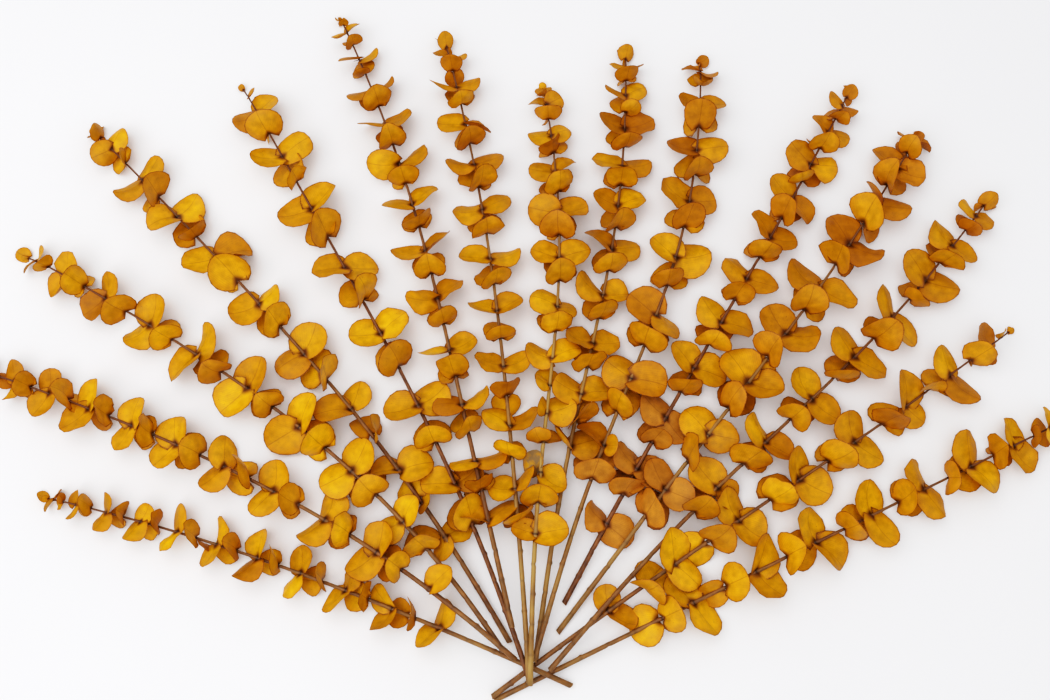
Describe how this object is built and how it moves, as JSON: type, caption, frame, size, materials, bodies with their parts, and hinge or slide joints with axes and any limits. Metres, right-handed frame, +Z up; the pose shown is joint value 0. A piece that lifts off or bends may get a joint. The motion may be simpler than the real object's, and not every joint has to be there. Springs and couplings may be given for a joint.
{
  "type": "bunch of dried eucalyptus",
  "caption": "Fan-shaped bunch of cut, dried, round-leaved eucalyptus stems lying flat with their cut ends crossed; woody stems with opposite cupped leaves in mustard gold.",
  "frame": {"origin": "on the surface that the bunch lies on, under the middle of its bounding box", "axes": "+X across the fan from the leftmost stem to the rightmost, +Y from the crossed cut ends towards the tips of the middle stems, +Z up"},
  "size_m": [1.0538, 0.6744, 0.0538],
  "materials": {
    "dried_leaf": "matte, leathery, dyed mustard gold, with a thin brown rim and fine veins",
    "woody_stem": "matte, smooth brown bark with pale cut ends"
  },
  "bodies": {
    "root": {"leafy_stem_01": "dried_leaf", "leafy_stem_02": "dried_leaf", "leafy_stem_03": "dried_leaf", "leafy_stem_04": "dried_leaf", "leafy_stem_05": "dried_leaf", "leafy_stem_06": "dried_leaf", "leafy_stem_07": "dried_leaf", "leafy_stem_08": "dried_leaf", "leafy_stem_09": "dried_leaf", "leafy_stem_10": "dried_leaf", "leafy_stem_11": "dried_leaf", "leafy_stem_12": "dried_leaf", "leafy_stem_13": "dried_leaf", "leafy_stem_14": "dried_leaf", "leafy_stem_15": "dried_leaf"}
  },
  "joints": []
}
